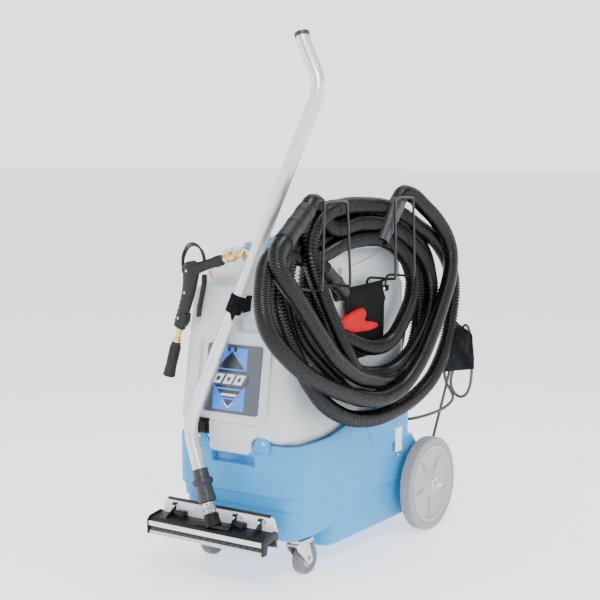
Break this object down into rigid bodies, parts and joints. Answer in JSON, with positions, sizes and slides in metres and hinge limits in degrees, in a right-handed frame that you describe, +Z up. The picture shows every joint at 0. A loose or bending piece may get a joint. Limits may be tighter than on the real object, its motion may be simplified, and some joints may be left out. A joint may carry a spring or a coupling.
{
  "type": "carpet cleaner machine",
  "caption": "Wheeled carpet extractor: grey recovery tank on a blue base, coiled vacuum hose on side hangers, bent wand with squeegee head, spray gun and cord.",
  "frame": {"origin": "middle of the machine's box on the floor under its wheels, without the hose, power cord, their coils, cuffs and plug", "axes": "+Z up, -Y the front where the wand and the floor head are, +Y the rear with the push handle, +X the side that the hose hangs on"},
  "size_m": [0.6291, 1.292, 1.5125],
  "materials": {
    "blue_polyethylene": "sky blue rotational moulding with a fine orange-peel texture",
    "grey_polyethylene": "light cool grey rotational moulding, satin",
    "lid_blue": "translucent blue, smooth",
    "label": "printed plate of plain shapes under a gloss film, no lettering",
    "wheel_grey": "moulded light grey",
    "grey_rubber": "non-marking grey tread",
    "zinc_plate": "bright zinc plated sheet steel",
    "steel": "plain steel",
    "chrome": "polished chrome",
    "black_steel": "black powder coat, slight texture",
    "black_plastic": "moulded black, fine grain",
    "rocker": "glossy rocker",
    "black_rubber": "soft black",
    "brass": "turned brass",
    "red_vinyl": "dipped red vinyl",
    "aluminium": "drawn tube, satin",
    "dark_grey_plastic": "moulded dark grey",
    "clear_collar": "milky clear moulding",
    "pale_rubber": "pale grey blade rubber",
    "white_plastic": "white sheet plastic",
    "bristle": "stiff black and dark red nylon bristles",
    "hose_black": "glossy ribbed black vinyl hose",
    "woven_fabric": "black woven nylon",
    "red_rubber": "soft red rubber",
    "cord_grey": "dark grey vinyl jacket"
  },
  "bodies": {
    "machine": {"base_tank": "blue_polyethylene", "recovery_tank": "grey_polyethylene", "lid_hinge": "steel", "front_label": "label", "caster_plate_left": "zinc_plate", "caster_plate_right": "zinc_plate", "rear_axle": "chrome", "rear_handle": "black_steel", "cord_hook": "black_steel", "switch_box": "black_plastic", "strain_relief": "black_rubber", "drain_valve": "brass", "vacuum_motor": "steel", "water_pump": "black_rubber", "float_shutoff": "dark_grey_plastic", "hose_hook_front": "black_steel", "hose_hook_rear": "black_steel", "hook_bar_front": "black_steel", "hook_bar_rear": "black_steel", "hose_coil": "hose_black", "hose_cuff_lower": "dark_grey_plastic", "hose_cuff_upper": "dark_grey_plastic", "hose_port": "dark_grey_plastic", "tool_pouch": "woven_fabric", "rubber_mitt": "red_rubber", "wand_tube": "aluminium", "wand_cuff": "dark_grey_plastic", "swivel_collar": "clear_collar", "wand_strap": "woven_fabric", "wand_saddle": "black_plastic", "spray_gun": "black_plastic", "gun_coupling": "brass", "water_outlet": "brass", "gun_neck": "brass", "spray_nozzle": "black_plastic", "power_cord": "cord_grey", "cord_coil": "cord_grey", "power_plug": "black_rubber", "cord_bag": "woven_fabric"},
    "lid": {"lid": "lid_blue"},
    "caster_fork_left": {"caster_fork_left": "zinc_plate"},
    "caster_wheel_left": {"caster_wheel_left": "grey_rubber"},
    "brake_pedal_left": {"brake_pedal_left": "zinc_plate"},
    "rear_wheel_left": {"rear_wheel_left": "wheel_grey", "rear_tyre_left": "grey_rubber"},
    "caster_fork_right": {"caster_fork_right": "zinc_plate"},
    "caster_wheel_right": {"caster_wheel_right": "grey_rubber"},
    "brake_pedal_right": {"brake_pedal_right": "zinc_plate"},
    "rear_wheel_right": {"rear_wheel_right": "wheel_grey", "rear_tyre_right": "grey_rubber"},
    "drain_lever": {"drain_lever": "red_vinyl"},
    "rocker_switch_1": {"rocker_switch_1": "rocker"},
    "rocker_switch_2": {"rocker_switch_2": "rocker"},
    "gun_trigger": {"gun_trigger": "black_plastic"},
    "floor_head": {"head_neck": "black_plastic", "squeegee_head": "black_plastic", "front_strip": "aluminium", "squeegee_blade": "pale_rubber", "brush_carrier": "white_plastic", "scrub_brush": "bristle"}
  },
  "joints": [
    {"name": "lid_hinge", "type": "hinge", "parent": "machine", "child": "lid", "pos_m": [-0.0202, 0.1042, 0.918], "axis": [-1, 0, 0], "range_deg": [0, 95]},
    {"name": "caster_swivel_left", "type": "hinge", "parent": "machine", "child": "caster_fork_left", "pos_m": [-0.1832, -0.2828, 0.1079], "axis": [0, 0, 1], "continuous": true},
    {"name": "caster_spin_left", "type": "hinge", "parent": "caster_fork_left", "child": "caster_wheel_left", "pos_m": [-0.1832, -0.2478, 0.0445], "axis": [1, 0, 0], "continuous": true},
    {"name": "brake_press_left", "type": "hinge", "parent": "caster_fork_left", "child": "brake_pedal_left", "pos_m": [-0.1832, -0.2493, 0.095], "axis": [-1, 0, 0], "range_deg": [0, 14]},
    {"name": "rear_wheel_spin_left", "type": "hinge", "parent": "machine", "child": "rear_wheel_left", "pos_m": [-0.2548, 0.3422, 0.1465], "axis": [1, 0, 0], "continuous": true},
    {"name": "caster_swivel_right", "type": "hinge", "parent": "machine", "child": "caster_fork_right", "pos_m": [0.1428, -0.2828, 0.1079], "axis": [0, 0, 1], "continuous": true},
    {"name": "caster_spin_right", "type": "hinge", "parent": "caster_fork_right", "child": "caster_wheel_right", "pos_m": [0.1428, -0.2478, 0.0445], "axis": [1, 0, 0], "continuous": true},
    {"name": "brake_press_right", "type": "hinge", "parent": "caster_fork_right", "child": "brake_pedal_right", "pos_m": [0.1428, -0.2493, 0.095], "axis": [-1, 0, 0], "range_deg": [0, 14]},
    {"name": "rear_wheel_spin_right", "type": "hinge", "parent": "machine", "child": "rear_wheel_right", "pos_m": [0.2144, 0.3422, 0.1465], "axis": [1, 0, 0], "continuous": true},
    {"name": "drain_lever_turn", "type": "hinge", "parent": "machine", "child": "drain_lever", "pos_m": [0.0698, 0.4062, 0.106], "axis": [0, 0, -1], "range_deg": [0, 90]},
    {"name": "rocker_1_press", "type": "hinge", "parent": "machine", "child": "rocker_switch_1", "pos_m": [-0.0902, 0.3155, 0.344], "axis": [1, 0, 0], "range_deg": [0, 12]},
    {"name": "rocker_2_press", "type": "hinge", "parent": "machine", "child": "rocker_switch_2", "pos_m": [-0.0302, 0.3155, 0.344], "axis": [1, 0, 0], "range_deg": [0, 12]},
    {"name": "trigger_pull", "type": "hinge", "parent": "machine", "child": "gun_trigger", "pos_m": [-0.1242, -0.3608, 0.841], "axis": [0, 1, 0], "range_deg": [0, 10], "stiffness_Nm_per_rad": 2, "springref_deg": -5.73},
    {"name": "head_swivel", "type": "hinge", "parent": "machine", "child": "floor_head", "pos_m": [-0.0382, -0.45596, 0.224], "axis": [0.4131, -0.1439, -0.8992], "range_deg": [-10, 10]}
  ]
}
